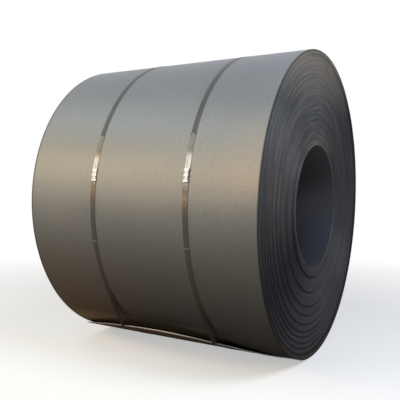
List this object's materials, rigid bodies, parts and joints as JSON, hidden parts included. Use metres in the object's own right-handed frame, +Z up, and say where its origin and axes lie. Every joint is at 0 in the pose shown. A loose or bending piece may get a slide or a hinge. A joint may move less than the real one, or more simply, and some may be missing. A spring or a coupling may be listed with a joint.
{
  "type": "steel coil",
  "caption": "Coil of hot-rolled steel strip lying on its side, tied round with steel straps, its outer end sprung off as a tongue and a clear round eye through it.",
  "frame": {"origin": "on the floor, under the middle of the coil", "axes": "+X along the coil's axis, towards the dished end, where its outermost turns stand proud; +Y away from the side that carries the strap seals and the tail; +Z up"},
  "size_m": [1.531, 1.8961, 1.8978],
  "materials": {
    "mill_scale": "dark blue-grey mill scale, browner towards the floor",
    "strap_steel": "dark steel strapping with brown rust",
    "seal_steel": "bright bare steel, crimped"
  },
  "bodies": {
    "root": {"steel_coil": "mill_scale", "strap_left": "strap_steel", "seal_left": "seal_steel", "strap_right": "strap_steel", "seal_right": "seal_steel"}
  },
  "joints": []
}
